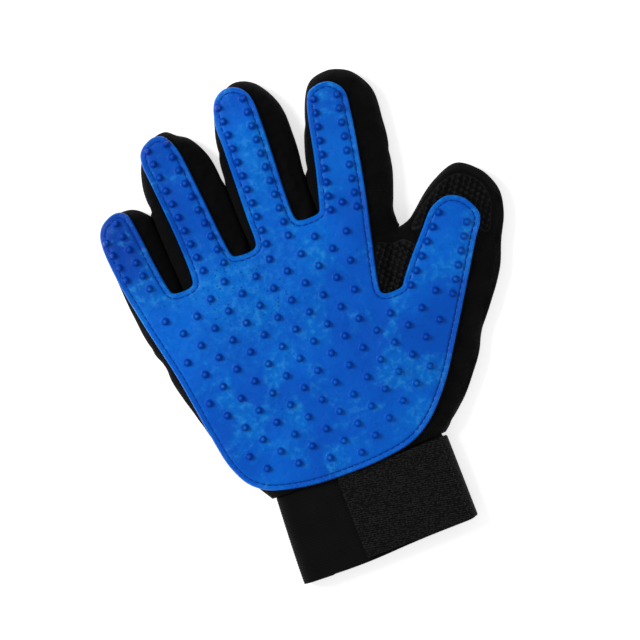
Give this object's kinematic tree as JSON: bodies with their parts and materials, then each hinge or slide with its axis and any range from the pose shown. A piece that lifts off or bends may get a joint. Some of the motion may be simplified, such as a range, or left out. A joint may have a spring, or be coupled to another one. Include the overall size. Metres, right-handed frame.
{
  "type": "grooming glove",
  "caption": "Pet grooming glove with a studded rubber palm pad, mesh back, stretch side walls and an elastic cuff with a hook-and-loop strap.",
  "frame": {"origin": "on the resting surface under the middle of the whole glove's box", "axes": "+Y from the cuff to the fingertips, +X to the thumb side, +Z out of the studded palm"},
  "size_m": [0.1883, 0.237, 0.0178],
  "materials": {
    "rubber": "soft satin moulded rubber",
    "air_mesh": "open air mesh",
    "knit": "fine stretch knit",
    "elastic": "ribbed elastic",
    "strap_webbing": "brushed woven strap",
    "loop_tape": "fuzzy loop tape",
    "hook_tape": "nylon hook tape",
    "thread": "twisted thread"
  },
  "bodies": {
    "palm": {"palm_back": "air_mesh", "little_side_gusset": "knit", "thumb_side_gusset": "knit", "web_little_ring": "knit", "web_ring_middle": "knit", "web_middle_index": "knit", "web_index_thumb": "knit", "palm_cloth": "air_mesh", "palm_pad": "rubber", "pad_thread": "thread", "elastic_cuff": "elastic", "loop_tape": "loop_tape", "strap_anchor": "strap_webbing", "strap_thread": "thread"},
    "strap": {"strap": "strap_webbing", "hook_tape": "hook_tape"},
    "little_base": {"little_base_back": "air_mesh", "little_base_sides": "knit", "little_base_cloth": "air_mesh", "little_base_pad": "rubber"},
    "little_tip": {"little_tip_back": "air_mesh", "little_tip_sides": "knit", "little_tip_cloth": "air_mesh", "little_tip_pad": "rubber"},
    "ring_base": {"ring_base_back": "air_mesh", "ring_base_sides": "knit", "ring_base_cloth": "air_mesh", "ring_base_pad": "rubber"},
    "ring_tip": {"ring_tip_back": "air_mesh", "ring_tip_sides": "knit", "ring_tip_cloth": "air_mesh", "ring_tip_pad": "rubber"},
    "middle_base": {"middle_base_back": "air_mesh", "middle_base_sides": "knit", "middle_base_cloth": "air_mesh", "middle_base_pad": "rubber"},
    "middle_tip": {"middle_tip_back": "air_mesh", "middle_tip_sides": "knit", "middle_tip_cloth": "air_mesh", "middle_tip_pad": "rubber"},
    "index_base": {"index_base_back": "air_mesh", "index_base_sides": "knit", "index_base_cloth": "air_mesh", "index_base_pad": "rubber"},
    "index_tip": {"index_tip_back": "air_mesh", "index_tip_sides": "knit", "index_tip_cloth": "air_mesh", "index_tip_pad": "rubber"},
    "thumb_base": {"thumb_base_back": "air_mesh", "thumb_base_sides": "knit", "thumb_base_cloth": "air_mesh", "thumb_base_pad": "rubber"},
    "thumb_tip": {"thumb_tip_back": "air_mesh", "thumb_tip_sides": "knit", "thumb_tip_cloth": "air_mesh", "thumb_tip_pad": "rubber"}
  },
  "joints": [
    {"name": "little_knuckle", "type": "hinge", "parent": "palm", "child": "little_base", "pos_m": [-0.0821, 0.0425, 0.0118], "axis": [0.9951, 0.0993, 0], "range_deg": [0, 65]},
    {"name": "little_middle_hinge", "type": "hinge", "parent": "little_base", "child": "little_tip", "pos_m": [-0.08389, 0.06041, 0.0118], "axis": [0.9951, 0.0993, 0], "range_deg": [0, 65]},
    {"name": "ring_knuckle", "type": "hinge", "parent": "palm", "child": "ring_base", "pos_m": [-0.0491, 0.0505, 0.0118], "axis": [0.9968, 0.0802, 0], "range_deg": [0, 65]},
    {"name": "ring_middle_hinge", "type": "hinge", "parent": "ring_base", "child": "ring_tip", "pos_m": [-0.05127, 0.07741, 0.0118], "axis": [0.9968, 0.0802, 0], "range_deg": [0, 65]},
    {"name": "middle_knuckle", "type": "hinge", "parent": "palm", "child": "middle_base", "pos_m": [-0.0127, 0.0555, 0.0118], "axis": [0.9992, -0.0401, 0], "range_deg": [0, 65]},
    {"name": "middle_middle_hinge", "type": "hinge", "parent": "middle_base", "child": "middle_tip", "pos_m": [-0.0115, 0.08548, 0.0118], "axis": [0.9992, -0.0401, 0], "range_deg": [0, 65]},
    {"name": "index_knuckle", "type": "hinge", "parent": "palm", "child": "index_base", "pos_m": [0.0232, 0.0553, 0.0118], "axis": [0.9763, -0.2164, 0], "range_deg": [0, 65]},
    {"name": "index_middle_hinge", "type": "hinge", "parent": "index_base", "child": "index_tip", "pos_m": [0.02883, 0.08068, 0.0118], "axis": [0.9763, -0.2164, 0], "range_deg": [0, 65]},
    {"name": "thumb_base_hinge", "type": "hinge", "parent": "palm", "child": "thumb_base", "pos_m": [0.0621, 0.0066, 0.0118], "axis": [0.6004, -0.7997, 0], "range_deg": [0, 45]},
    {"name": "thumb_tip_hinge", "type": "hinge", "parent": "thumb_base", "child": "thumb_tip", "pos_m": [0.07062, 0.01895, 0.0118], "axis": [0.6997, -0.7145, 0], "range_deg": [0, 50]},
    {"name": "strap_fold", "type": "hinge", "parent": "palm", "child": "strap", "pos_m": [0.0215, -0.0975, 0.0134], "axis": [0, 1, 0], "range_deg": [0, 160]}
  ]
}
